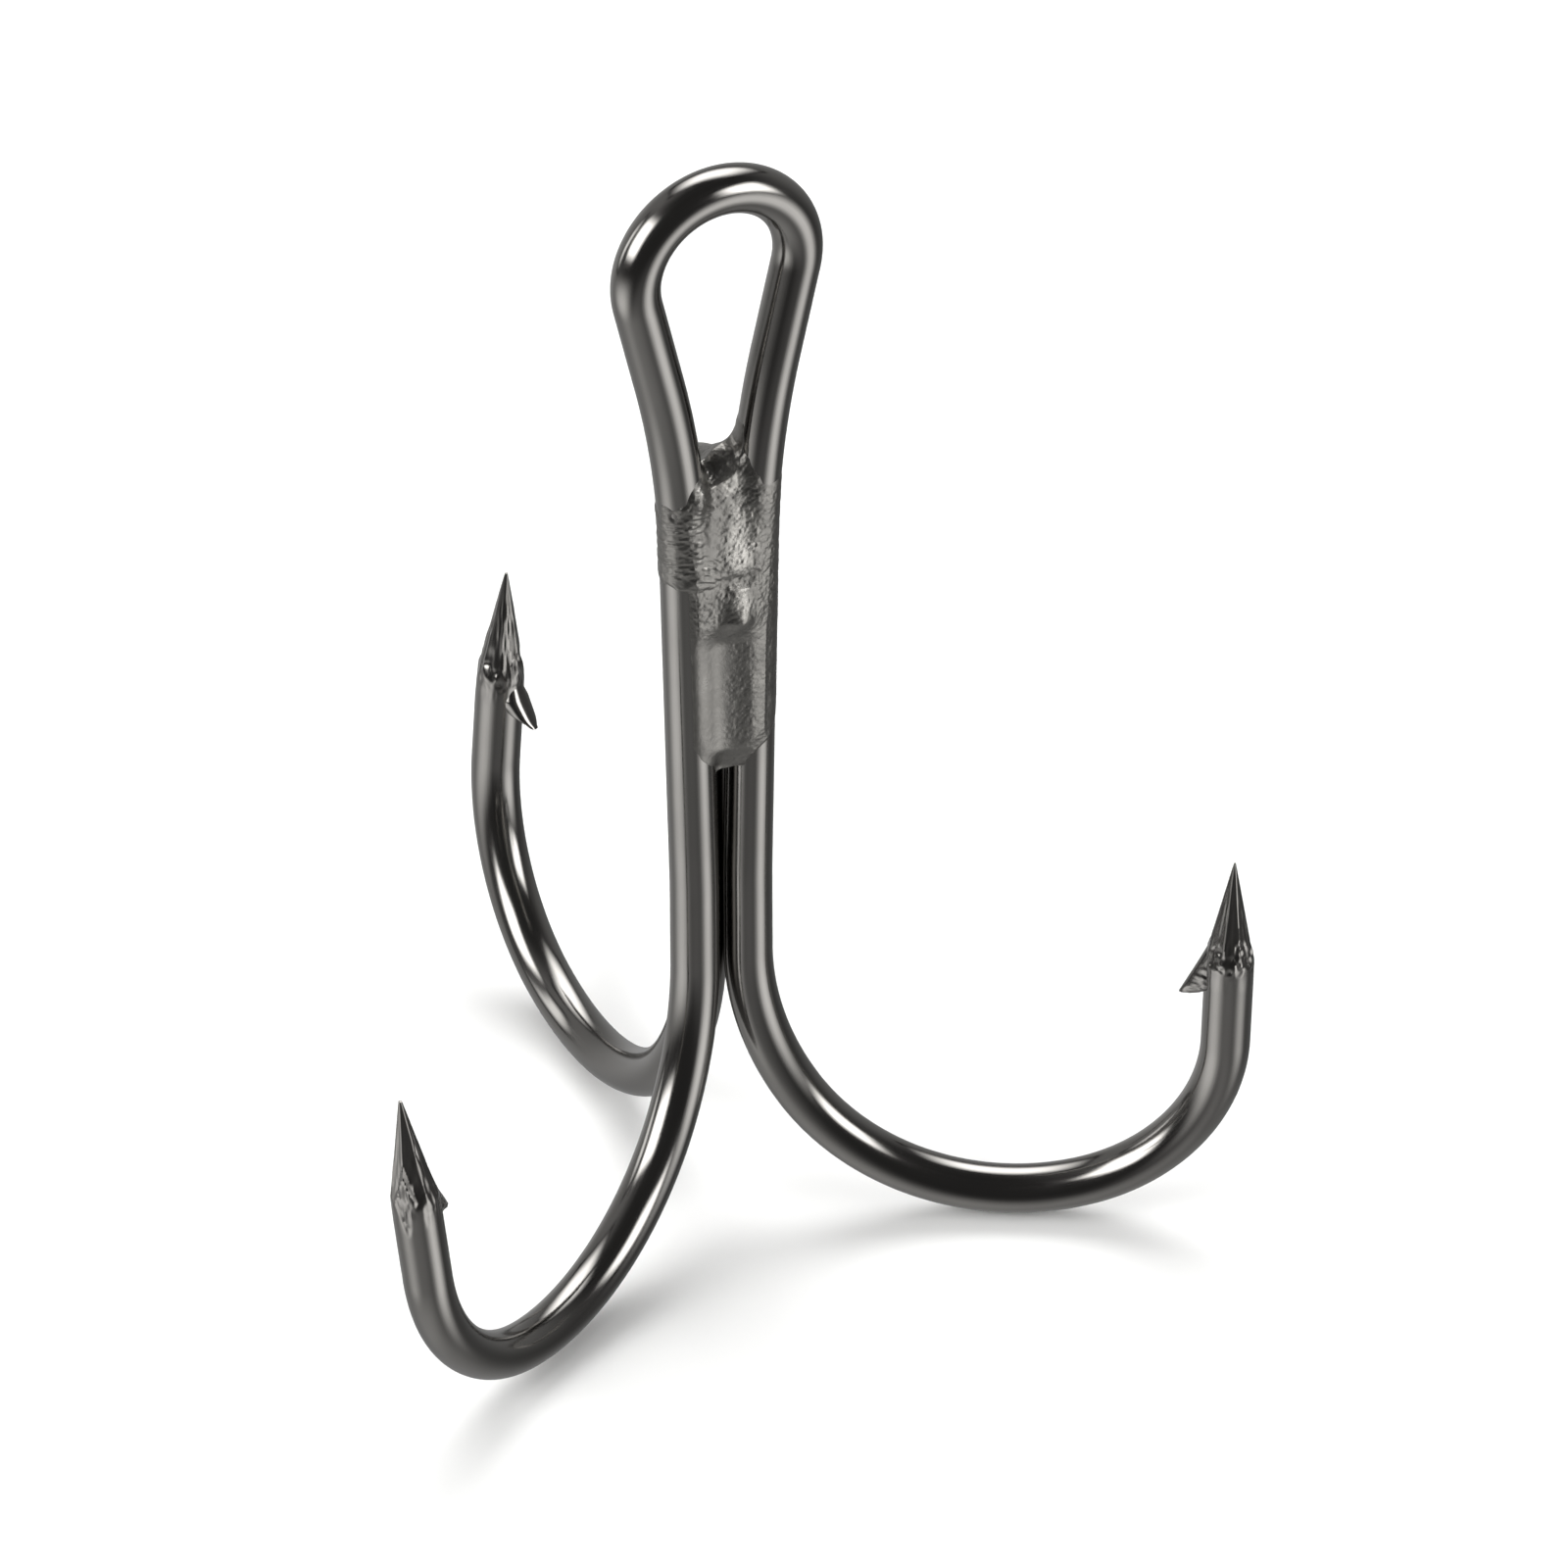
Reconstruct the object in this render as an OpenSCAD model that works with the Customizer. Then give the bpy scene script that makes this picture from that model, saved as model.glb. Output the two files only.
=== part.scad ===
// Treble hook: a double hook bent from one wire with the eye between its legs,
// a single hook laid in the valley behind the legs, and the brazed joint that holds them.
// Origin at the centre of the eye's crown, +Z up along the shank, the eye lies in the XZ plane.

/* [Wire] */
// Wire diameter
wire_d = 1.6; // [1.2:0.05:2.2]

/* [Eye] */
// Radius of the crown, to the middle of the wire
crown_r = 2.85; // [2.2:0.05:3.6]
// Slope of the eye's sides from the upright
eye_slope = 13; // [9:0.5:17]
// Radius where the eye's sides turn down into the legs
flare_r = 33; // [22:1:40]

/* [Shank] */
// Legs apart at the foot, middle to middle
leg_pitch = 1.9; // [1.8:0.05:2.6]
// Lean of each leg over the brazed length
leg_lean = 1.25; // [0.75:0.25:2]
// Height where the legs start to lean apart
lean_z = -23.6; // [-25:0.1:-21]
// Height where the bends start
bend_z = -26.3; // [-30:0.1:-24]
// Rear shank behind the plane of the legs
rear_y = 1.35; // [1.32:0.01:1.8]
// Top end of the rear shank
rear_top_z = -7.9; // [-9:0.1:-7.5]

/* [Bend] */
// Radius on the shank side
bend_r1 = 10.5; // [8:0.25:13]
// Turn on the shank side
bend_a1 = 33; // [25:1:40]
// Radius of the bottom
bend_r2 = 8; // [6:0.25:10]
// Turn of the bottom
bend_a2 = 75; // [65:1:85]
// Radius before the point
bend_r3 = 6.5; // [5:0.25:8]
// Turn before the point
bend_a3 = 70; // [60:1:80]
// Sideways offset of the point
kirb = 3.5; // [0:0.5:6]
// Left bend opened when it was formed
left_open = 4; // [0:0.5:6]
// Rear bend closed when it was formed
rear_close = 3; // [0:0.5:6]

/* [Point and barb] */
// Straight length that carries the point
point_leg = 7.2; // [6:0.1:9]
// Length of the taper
point_taper = 4.2; // [3:0.1:5]
// Barb starts behind the tip
barb_start = 2.7; // [2.2:0.1:3.4]
// Barb ends behind the tip
barb_end = 5.1; // [4.4:0.1:6]
// Barb stands off the wire
barb_lift = 0.8; // [0.4:0.05:1]
// Width of the barb
barb_w = 0.76; // [0.5:0.02:1]

/* [Brazing] */
// Lower end of the filler
braze_foot_z = -19.1; // [-21:0.1:-15]
// Top of the filler along the legs
braze_head_z = -7.6; // [-8.5:0.1:-7]
// Top of the saddle at the throat of the eye
saddle_top_z = -5.9; // [-6.5:0.1:-5.5]
// Filler outside the wires at the foot
foot_film = 0.06; // [0.04:0.01:0.15]
// Filler outside the wires at the head
head_film = 0.14; // [0.08:0.01:0.25]
// Radius of the hollow in the saddle
throat_r = 1.0; // [0.7:0.05:1.3]

/* [Hidden] */
$fn = 64;
sweep_fn = 180;
wire_r = wire_d / 2;
tip_r = 0.03;
// one hook every third of a turn
hook_turn = 30;
// where the flare starts, so that leg, flare, side and crown follow on smoothly
tangent_x = crown_r * cos(eye_slope);
tangent_z = -crown_r * sin(eye_slope);
flare_run = flare_r * (cos(leg_lean) - cos(eye_slope));
flare_rise = flare_r * (sin(eye_slope) - sin(leg_lean));
foot_rise = flare_r * sin(leg_lean);
foot_run = flare_r * (1 - cos(leg_lean));
lean_x = leg_pitch / 2 + foot_run;
lean_top = lean_z + foot_rise;
flare_z = (tangent_x - lean_x + lean_top * tan(leg_lean) - flare_run
           - (tangent_z - flare_rise) * tan(eye_slope)) / (tan(leg_lean) - tan(eye_slope));
side_len = (tangent_z - flare_z - flare_rise) / cos(eye_slope);
lean_len = (flare_z - lean_top) / cos(leg_lean);
foot_len = lean_z - bend_z;
// inner flank of the barb
barb_root = 0.3;
barb_undercut = 4.95;
barb_foot_r = 0.35;
// filler
foot_tuck = 0.3;
foot_full_z = -17.4;
reach = 3;
left_edge = 1.1;
right_edge = 1.5;
saddle_foot_w = 0.65;
saddle_w = 0.55;
saddle_end_r = 0.7;
saddle_back = 0.95;
throat_x = -0.1;
throat_z = -5.55;
eps = 0.01;
// joints between lengths of wire
gap = 0.03;
collar_h = 0.08;
collar_up = 0.01;

function leg_x(z) = lean_x + (z - lean_top) * tan(leg_lean)
    + (z > flare_z ? flare_r * (cos(leg_lean) - cos(flare_angle(z)))
       - (z - flare_z) * tan(leg_lean) : 0);
function flare_angle(z) = asin(sin(leg_lean) + (z - flare_z) / flare_r);

// Wire runs down -Z and bends towards +X; children carry on from its end.
// Each length stops a hair short and a fine collar carries it over to the next.
module collar() {
    cylinder(h = 2 * collar_h, r = wire_r + collar_up, center = true);
}

module run(l) {
    translate([0, 0, gap - l]) cylinder(h = l - 2 * gap, r = wire_r);
    translate([0, 0, -l]) {
        collar();
        children();
    }
}

module bend(r, a) {
    short = gap / r * 180 / PI;
    translate([r, 0, 0]) rotate([90, 0, 0])
        rotate_extrude(angle = a - 2 * short, start = 180 + short, $fn = sweep_fn)
            translate([r, 0]) circle(r = wire_r);
    translate([r, 0, 0]) rotate([0, -a, 0]) translate([-r, 0, 0]) {
        collar();
        children();
    }
}

// Tapered point with the barb raised on the side that faces the shank.
module point() {
    rotate_extrude() polygon([[0, -gap], [wire_r, -gap], [wire_r, point_taper - point_leg],
                              [tip_r, -point_leg], [0, -point_leg]]);
    translate([0, 0, -point_leg]) rotate([90, 0, 0])
        linear_extrude(height = barb_w, center = true)
            polygon([[barb_root, barb_start], [wire_r + barb_lift, barb_end],
                     [barb_foot_r, barb_undercut]]);
}

module hook(turn) {
    bend(bend_r1, bend_a1 + turn) bend(bend_r2, bend_a2)
        rotate([0, 0, -kirb]) bend(bend_r3, bend_a3) point();
}

// From the crown down one side of the eye and the leg; a hook is carried on from its foot.
module leg() {
    translate([tangent_x, 0, tangent_z]) rotate([0, eye_slope, 0]) {
        collar();
        run(side_len) bend(flare_r, eye_slope - leg_lean) run(lean_len)
            bend(flare_r, leg_lean) run(foot_len) children();
    }
}

module crown() {
    short = gap / crown_r * 180 / PI;
    rotate([90, 0, 0]) rotate_extrude(angle = 180 + 2 * (eye_slope - short), start = short - eye_slope)
        translate([crown_r, 0]) circle(r = wire_r);
}

module double_hook_wire() {
    color("dimgray") {
        crown();
        leg() rotate([0, 0, -hook_turn]) hook(0);
        rotate([0, 0, 180]) leg() rotate([0, 0, hook_turn]) hook(-left_open);
    }
}

module single_hook_wire() {
    color("gray") translate([0, rear_y, rear_top_z])
        run(rear_top_z - bend_z) rotate([0, 0, 90]) hook(rear_close);
}

// The wires as they pass through the filler, to cut their beds out of it.
module wire_beds() {
    leg();
    rotate([0, 0, 180]) leg();
    translate([0, rear_y, bend_z]) cylinder(h = rear_top_z - gap - bend_z, r = wire_r);
}

// Flat rounds at one height that the filler is stretched over.
module rounds(z, x, y, r) {
    for (p = [[-x, 0], [x, 0], [0, y]])
        translate([p[0], p[1], z]) cylinder(h = eps, r = r);
}

module filler_skin() {
    hull() {
        rounds(braze_foot_z, leg_x(braze_foot_z) - foot_tuck, rear_y - foot_tuck, wire_r);
        rounds(foot_full_z, leg_x(foot_full_z), rear_y, wire_r + foot_film);
        rounds(braze_head_z - eps, leg_x(braze_head_z), rear_y, wire_r + head_film);
    }
}

module column(outline) {
    translate([0, 0, bend_z]) linear_extrude(height = -bend_z) polygon(outline);
}

module braze_front_bead() {
    color("silver") difference() {
        intersection() {
            filler_skin();
            column([[-left_edge, -reach], [right_edge, -reach], [right_edge, 0],
                    [0, rear_y], [-left_edge, 0]]);
        }
        wire_beds();
    }
}

// Filler in the valley between one leg and the rear shank.
module rear_bead(side) {
    difference() {
        intersection() {
            filler_skin();
            column([[side * left_edge, 0], [0, rear_y], [side * reach, rear_y + reach],
                    [side * (left_edge + reach), reach]]);
        }
        wire_beds();
    }
}

module braze_left_bead() { color("darkgray") rear_bead(-1); }

module braze_right_bead() { color("lightgray") rear_bead(1); }

module braze_saddle() {
    color("gainsboro") difference() {
        hull() {
            rounds(braze_head_z, saddle_foot_w, rear_y, wire_r + head_film);
            rounds(saddle_top_z, saddle_w, saddle_back, saddle_end_r);
        }
        translate([throat_x, 0, throat_z]) rotate([90, 0, 0])
            cylinder(h = 2 * reach, r = throat_r, center = true);
        wire_beds();
    }
}

double_hook_wire();
single_hook_wire();
braze_front_bead();
braze_left_bead();
braze_right_bead();
braze_saddle();
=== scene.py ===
"""Treble hook: two bent wires and their brazed joint, finished in black nickel, on a pale studio floor."""

import math

import bpy  # noqa: E402
import numpy as np  # noqa: E402
from bpy.props import FloatProperty, FloatVectorProperty, IntProperty, PointerProperty  # noqa: E402
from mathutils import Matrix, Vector  # noqa: E402


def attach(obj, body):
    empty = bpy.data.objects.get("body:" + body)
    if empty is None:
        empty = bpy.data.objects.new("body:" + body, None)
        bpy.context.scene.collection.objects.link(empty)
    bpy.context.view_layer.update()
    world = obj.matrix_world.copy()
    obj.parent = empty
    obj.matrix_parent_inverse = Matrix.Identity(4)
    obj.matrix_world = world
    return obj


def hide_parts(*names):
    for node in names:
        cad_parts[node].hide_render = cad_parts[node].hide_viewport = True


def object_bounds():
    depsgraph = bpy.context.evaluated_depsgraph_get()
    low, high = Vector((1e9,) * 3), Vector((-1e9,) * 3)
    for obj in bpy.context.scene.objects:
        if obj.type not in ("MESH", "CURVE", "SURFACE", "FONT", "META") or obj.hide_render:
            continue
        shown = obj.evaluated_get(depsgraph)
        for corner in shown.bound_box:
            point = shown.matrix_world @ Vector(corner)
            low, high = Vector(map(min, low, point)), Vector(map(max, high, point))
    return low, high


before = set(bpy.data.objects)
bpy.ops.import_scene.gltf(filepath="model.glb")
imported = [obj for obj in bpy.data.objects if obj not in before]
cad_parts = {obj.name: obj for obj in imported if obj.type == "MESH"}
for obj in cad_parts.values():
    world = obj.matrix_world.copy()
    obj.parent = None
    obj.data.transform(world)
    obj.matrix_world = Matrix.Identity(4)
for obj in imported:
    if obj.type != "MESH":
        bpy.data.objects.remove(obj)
CAD_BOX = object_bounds()

bl_info = {
    "name": "Treble hook",
    "version": (1, 0, 0),
    "blender": (4, 5, 0),
    "location": "3D View > Sidebar > Treble Hook",
    "description": "Builds a brazed treble hook and its studio stage",
    "category": "Object",
}

MM = 0.001
# Length of the point leg that carries finer rings, and the angle that shades as a sharp edge.
FINE_RUN = 5.6 * MM
SHARP_EDGE = math.radians(28)


def linear(hex_colour):
    """sRGB hex to linear RGB with alpha."""
    channels = [int(hex_colour[i:i + 2], 16) / 255 for i in (1, 3, 5)]
    return [c / 12.92 if c <= 0.04045 else ((c + 0.055) / 1.055) ** 2.4 for c in channels] + [1.0]


# ---------------------------------------------------------------- sizes and colours


def length(name, description, millimetres):
    """A setting that is a length."""
    return FloatProperty(name=name, description=description, default=millimetres * MM, unit="LENGTH")


def angle(name, description, degrees):
    """A setting that is an angle."""
    return FloatProperty(name=name, description=description, default=math.radians(degrees), subtype="ANGLE")


class WireSizes(bpy.types.PropertyGroup):
    """Sizes of the two bent wires, the same as those of the solids."""

    wire_d: FloatProperty(name="Wire diameter", description="Diameter of the round wire",
                          default=1.6 * MM, min=1.0 * MM, unit="LENGTH")
    crown_r: length("Crown radius", "Radius of the eye's crown to the wire's middle", 2.85)
    eye_slope: angle("Eye slope", "Slope of the eye's sides from the upright", 13)
    flare_r: length("Flare radius", "Radius where the eye's sides turn into the legs", 33)
    leg_pitch: length("Leg pitch", "Legs apart at the foot, middle to middle", 1.9)
    leg_lean: angle("Leg lean", "Lean of each leg over the brazed length", 1.25)
    lean_z: length("Lean height", "Height where the legs start to lean apart", -23.6)
    bend_z: length("Bend height", "Height where the bends start", -26.3)
    rear_y: length("Rear shank offset", "Rear shank behind the plane of the legs", 1.35)
    rear_top_z: length("Rear shank top", "Top end of the rear shank", -7.93)
    bend_r1: length("Bend radius, shank side", "Radius on the shank side", 10.5)
    bend_a1: angle("Turn, shank side", "Turn on the shank side", 33)
    bend_r2: length("Bend radius, bottom", "Radius of the bottom", 8)
    bend_a2: angle("Turn, bottom", "Turn of the bottom", 75)
    bend_r3: length("Bend radius, point side", "Radius before the point", 6.5)
    bend_a3: angle("Turn, point side", "Turn before the point", 70)
    kirb: angle("Kirb", "Sideways offset of the point", 3.5)
    left_open: angle("Left opened", "Left bend opened when it was formed", 4)
    rear_close: angle("Rear closed", "Rear bend closed when it was formed", 3)
    point_leg: length("Point leg", "Straight length that carries the point", 7.2)
    ring_step: length("Ring spacing", "Distance between rings of the wire's mesh", 0.12)
    sides: IntProperty(name="Sides", description="Faces round the wire", default=96, min=16)


class PointSizes(bpy.types.PropertyGroup):
    """Sizes of the ground points and the barbs."""

    barb_start: length("Barb start", "Barb starts behind the tip", 2.8)
    barb_end: length("Barb end", "Barb ends behind the tip", 5.3)
    barb_reach: length("Barb reach", "Barb's end from the wire's middle", 1.58)
    barb_w: length("Barb width", "Width of the barb", 0.74)


class FillerSizes(bpy.types.PropertyGroup):
    """Sizes of the brazing filler."""

    foot_z: length("Foot", "Lower end of the filler", -18.8)
    fillet: length("Fillet", "Softness of the filler's meeting with the wires", 0.18)
    grain: length("Grain", "Size of the wrinkles", 0.085)
    cell: length("Cell", "Mesh size of the filler", 0.035)


class FinishColours(bpy.types.PropertyGroup):
    """Colours of the plate, the filler and the floor."""

    plate: FloatVectorProperty(name="Black nickel", description="Black nickel plate", size=4,
                               subtype="COLOR", default=linear("#83817e"))
    filler: FloatVectorProperty(name="Filler", description="Plated brazing filler", size=4,
                                subtype="COLOR", default=linear("#8b8985"))
    floor: FloatVectorProperty(name="Floor", description="Pale studio floor", size=4,
                               subtype="COLOR", default=linear("#f2f2f1"))


class StageSizes(bpy.types.PropertyGroup):
    """Camera, floor and light settings."""

    azimuth: angle("Camera azimuth", "Turn of the camera round the hook", -26.94)
    elevation: angle("Camera elevation", "Height of the camera's view", 34.77)
    roll: angle("Camera roll", "Tilt of the camera", -0.286)
    distance: FloatProperty(name="Camera distance", description="Camera to the middle of the hook",
                            default=0.64, unit="LENGTH")
    lens: FloatProperty(name="Lens", description="Focal length in millimetres", default=462.1)
    aim: FloatVectorProperty(name="Aim", description="Point in the middle of the picture", size=3,
                             subtype="TRANSLATION", unit="LENGTH",
                             default=(1.096 * MM, -2.32 * MM, -18.633 * MM))
    floor_size: FloatProperty(name="Floor size", description="Side of the floor", default=6.0,
                              unit="LENGTH")


# ---------------------------------------------------------------- smooth noise


def lattice(cells, seed):
    """Repeatable values from -1 to 1 for whole-number cells."""
    n = (cells[..., 0] * 1619 + cells[..., 1] * 31337 + cells[..., 2] * 6971 + seed * 1013)
    n = n.astype(np.int64) & 0x7FFFFFFF
    n = (n ^ (n >> 13)) & 0x7FFFFFFF
    n = (n * (n * n * 15731 % 2147483647 + 789221) + 1376312589) & 0x7FFFFFFF
    return 1.0 - n / 1073741824.0


def noise(points, scale, seed=0):
    """Smooth noise from -1 to 1 at points, with bumps about scale apart."""
    p = np.asarray(points, float) / scale
    cell = np.floor(p)
    f = p - cell
    f = f * f * f * (f * (f * 6 - 15) + 10)
    cell = cell.astype(np.int64)
    total = np.zeros(p.shape[:-1])
    for dx in (0, 1):
        for dy in (0, 1):
            for dz in (0, 1):
                weight = (np.where(dx, f[..., 0], 1 - f[..., 0])
                          * np.where(dy, f[..., 1], 1 - f[..., 1])
                          * np.where(dz, f[..., 2], 1 - f[..., 2]))
                total += weight * lattice(cell + np.array([dx, dy, dz]), seed)
    return total


def ease(low, high, x):
    """0 below low, 1 above high and smooth between."""
    t = np.clip((np.asarray(x, float) - low) / (high - low), 0, 1)
    return t * t * (3 - 2 * t)


def bump_at(x, z, cx, cz, wx, wz):
    """A soft round bump of height 1."""
    return np.exp(-((x - cx) / wx) ** 2 - ((z - cz) / wz) ** 2)


# ---------------------------------------------------------------- wire paths


def turned(v, axis, angle):
    """v turned about a unit axis by the right-hand rule."""
    return (v * math.cos(angle) + np.cross(axis, v) * math.sin(angle)
            + axis * float(np.dot(axis, v)) * (1 - math.cos(angle)))


class Pen:
    """Draws a wire's middle line: straight runs and bends towards its own side."""

    def __init__(self, start, ahead, side, step):
        self.points = [np.array(start, float)]
        self.ahead = np.array(ahead, float)
        self.side = np.array(side, float)
        self.step = step

    def run(self, length):
        count = max(1, round(length / self.step))
        start = self.points[-1]
        for i in range(1, count + 1):
            self.points.append(start + self.ahead * length * i / count)

    def bend(self, radius, angle):
        count = max(2, round(radius * angle / self.step))
        centre = self.points[-1] + self.side * radius
        axis = np.cross(self.ahead, self.side)
        arm = self.points[-1] - centre
        for i in range(1, count + 1):
            self.points.append(centre + turned(arm, axis, angle * i / count))
        self.ahead = turned(self.ahead, axis, angle)
        self.side = turned(self.side, axis, angle)

    def roll(self, angle):
        self.side = turned(self.side, self.ahead, angle)

    def face(self, azimuth):
        """Turn the side to a compass direction, square to the line."""
        side = np.array([math.cos(azimuth), math.sin(azimuth), 0.0])
        side -= self.ahead * np.dot(side, self.ahead)
        self.side = side / np.linalg.norm(side)


def draw_hook(pen, w, turn):
    """Bend, kirb and point leg."""
    pen.bend(w.bend_r1, w.bend_a1 + turn)
    pen.bend(w.bend_r2, w.bend_a2)
    pen.roll(w.kirb)
    pen.bend(w.bend_r3, w.bend_a3)
    fine = pen.step
    pen.run(w.point_leg - FINE_RUN)
    pen.step = fine / 3
    pen.run(FINE_RUN)
    pen.step = fine


def flare_start(w):
    """Height where the leg's lean ends and the flare of the eye begins."""
    lean, slope = w.leg_lean, w.eye_slope
    tangent_x = w.crown_r * math.cos(slope)
    tangent_z = -w.crown_r * math.sin(slope)
    run = w.flare_r * (math.cos(lean) - math.cos(slope))
    rise = w.flare_r * (math.sin(slope) - math.sin(lean))
    top_x = w.leg_pitch / 2 + w.flare_r * (1 - math.cos(lean))
    top_z = w.lean_z + w.flare_r * math.sin(lean)
    z = ((tangent_x - top_x + top_z * math.tan(lean) - run - (tangent_z - rise) * math.tan(slope))
         / (math.tan(lean) - math.tan(slope)))
    return z, top_x, top_z, tangent_x, tangent_z, rise


def draw_half(w, mirrored, azimuth, turn):
    """From the top of the crown down one side of the eye to the point."""
    z, _, top_z, _, tangent_z, rise = flare_start(w)
    sign = -1 if mirrored else 1
    pen = Pen((0, 0, w.crown_r), (sign, 0, 0), (0, 0, -1), w.ring_step)
    pen.bend(w.crown_r, math.pi / 2 + w.eye_slope)
    pen.side = -pen.side
    pen.run((tangent_z - z - rise) / math.cos(w.eye_slope))
    pen.bend(w.flare_r, w.eye_slope - w.leg_lean)
    pen.run((z - top_z) / math.cos(w.leg_lean))
    pen.bend(w.flare_r, w.leg_lean)
    pen.run(w.lean_z - w.bend_z)
    pen.face(azimuth)
    draw_hook(pen, w, turn)
    return pen


def frames(points):
    """Unit tangents and untwisted side vectors along a line of points."""
    ahead = np.gradient(points, axis=0)
    ahead /= np.linalg.norm(ahead, axis=1)[:, None]
    side = np.zeros_like(points)
    seed = np.cross(ahead[0], (0.0, 0.0, 1.0))
    if np.linalg.norm(seed) < 1e-3:
        seed = np.cross(ahead[0], (0.0, 1.0, 0.0))
    side[0] = seed / np.linalg.norm(seed)
    for i in range(1, len(points)):
        v = side[i - 1] - ahead[i] * np.dot(side[i - 1], ahead[i])
        side[i] = v / np.linalg.norm(v)
    return ahead, side, np.cross(ahead, side)


# ---------------------------------------------------------------- points and barbs

# Each ground face: its direction round the wire from the barb's side, clockwise from above, in
# degrees, and how fast it opens from the tip.
RIGHT_FACES = ((267, 0.188), (215, 0.178), (318, 0.176), (10, 0.2), (62, 0.18), (112, 0.2), (164, 0.18))
LEFT_FACES = ((140, 0.178), (194, 0.186), (92, 0.184), (246, 0.18), (300, 0.19), (352, 0.19), (44, 0.18))
REAR_FACES = ((54, 0.184), (2, 0.184), (104, 0.186), (152, 0.18), (204, 0.2), (256, 0.178), (308, 0.19))
EDGE = 0.012


class Point:
    """One ground point: its faces, its tip's radius and the marks that grinding and cutting left.
    fibres: how deep the lengthwise tears are; band: how rough the run-out is;
    patch: direction, distance from the tip, half sizes and facing of a hammered patch;
    scoop: direction, distance from the tip and depth of a dent."""

    def __init__(self, faces, seed, tip, fibres, band, patch=None, scoop=None):
        self.faces, self.seed, self.tip, self.fibres, self.band = faces, seed, tip, fibres, band
        self.patch, self.scoop = patch, scoop

    def radius(self, angle, s, wire_r):
        """Radius in millimetres: flat ground faces that run out on the round wire."""
        total = np.exp(-(wire_r / EDGE)) * np.ones(np.broadcast(angle, s).shape)
        for centre, slope in self.faces:
            reach = self.tip + slope * s * (1 + 0.05 * np.clip(s - 2.6, 0, None) ** 2)
            turn = around(angle, centre)
            flat = reach / np.maximum(np.cos(turn), 0.2)
            total = total + np.where(np.abs(turn) < 1.35, np.exp(-np.minimum(flat, 4 * wire_r) / EDGE), 0)
        r = np.minimum(-EDGE * np.log(total), wire_r)
        ring = np.stack(np.broadcast_arrays(np.cos(angle) * 0.8, np.sin(angle) * 0.8, s), -1)
        # Tears along the point, strongest towards the shoulder.
        tears = noise(ring * np.array([1, 1, 0.16]), 0.1, self.seed) + 0.6 * noise(
            ring * np.array([1, 1, 0.3]), 0.19, self.seed + 1)
        r = r - self.fibres * ease(0.5, 2.4, s) * (1 - ease(4.0, 4.9, s)) * (1 + 1.3 * tears)
        # Crushed edge where the faces run out.
        ragged = s + 0.35 * noise(ring * np.array([1, 1, 0.2]), 0.3, self.seed + 2)
        crushed = ease(3.0, 3.25, ragged) * (1 - ease(3.8, 4.0, ragged))
        r = r - self.band * crushed * (0.7 + 1.2 * noise(ring * np.array([1, 1, 0.6]), 0.13, self.seed + 3))
        if self.patch:
            centre, middle, half_turn, half_length, facing = self.patch
            inside = 1 - np.abs(around(angle, centre)) / half_turn - np.abs(s - middle) / half_length
            dents = noise(ring * np.array([1, 1, 0.3]), 0.1, self.seed + 4)
            flat = (0.73 + 0.04 * (s - middle)) / np.maximum(np.cos(around(angle, facing)), 0.6)
            raised = np.minimum(flat, wire_r) - 0.01 + 0.026 * dents
            r = r + (raised - r) * ease(0.0, 0.35, inside)
        if self.scoop:
            centre, middle, depth = self.scoop
            r = r - depth * np.exp(-((s - middle) / 0.36) ** 2 - (around(angle, centre) / 0.38) ** 2)
        return np.maximum(r, self.tip * np.sqrt(np.clip(s / self.tip, 0.02, 1)))


def around(angle, centre):
    """Turn from centre, in degrees, to angle, in radians, as -pi to pi."""
    return (angle - math.radians(centre) + math.pi) % (2 * math.pi) - math.pi


RIGHT_POINT = Point(RIGHT_FACES, 12, 0.035, 0.006, 0.026)
LEFT_POINT = Point(LEFT_FACES, 11, 0.06, 0.01, 0.006, patch=(170, 3.6, 0.62, 1.5, 178))
REAR_POINT = Point(REAR_FACES, 13, 0.05, 0.015, 0.012, scoop=(-50, 3.35, 0.26))


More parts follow.
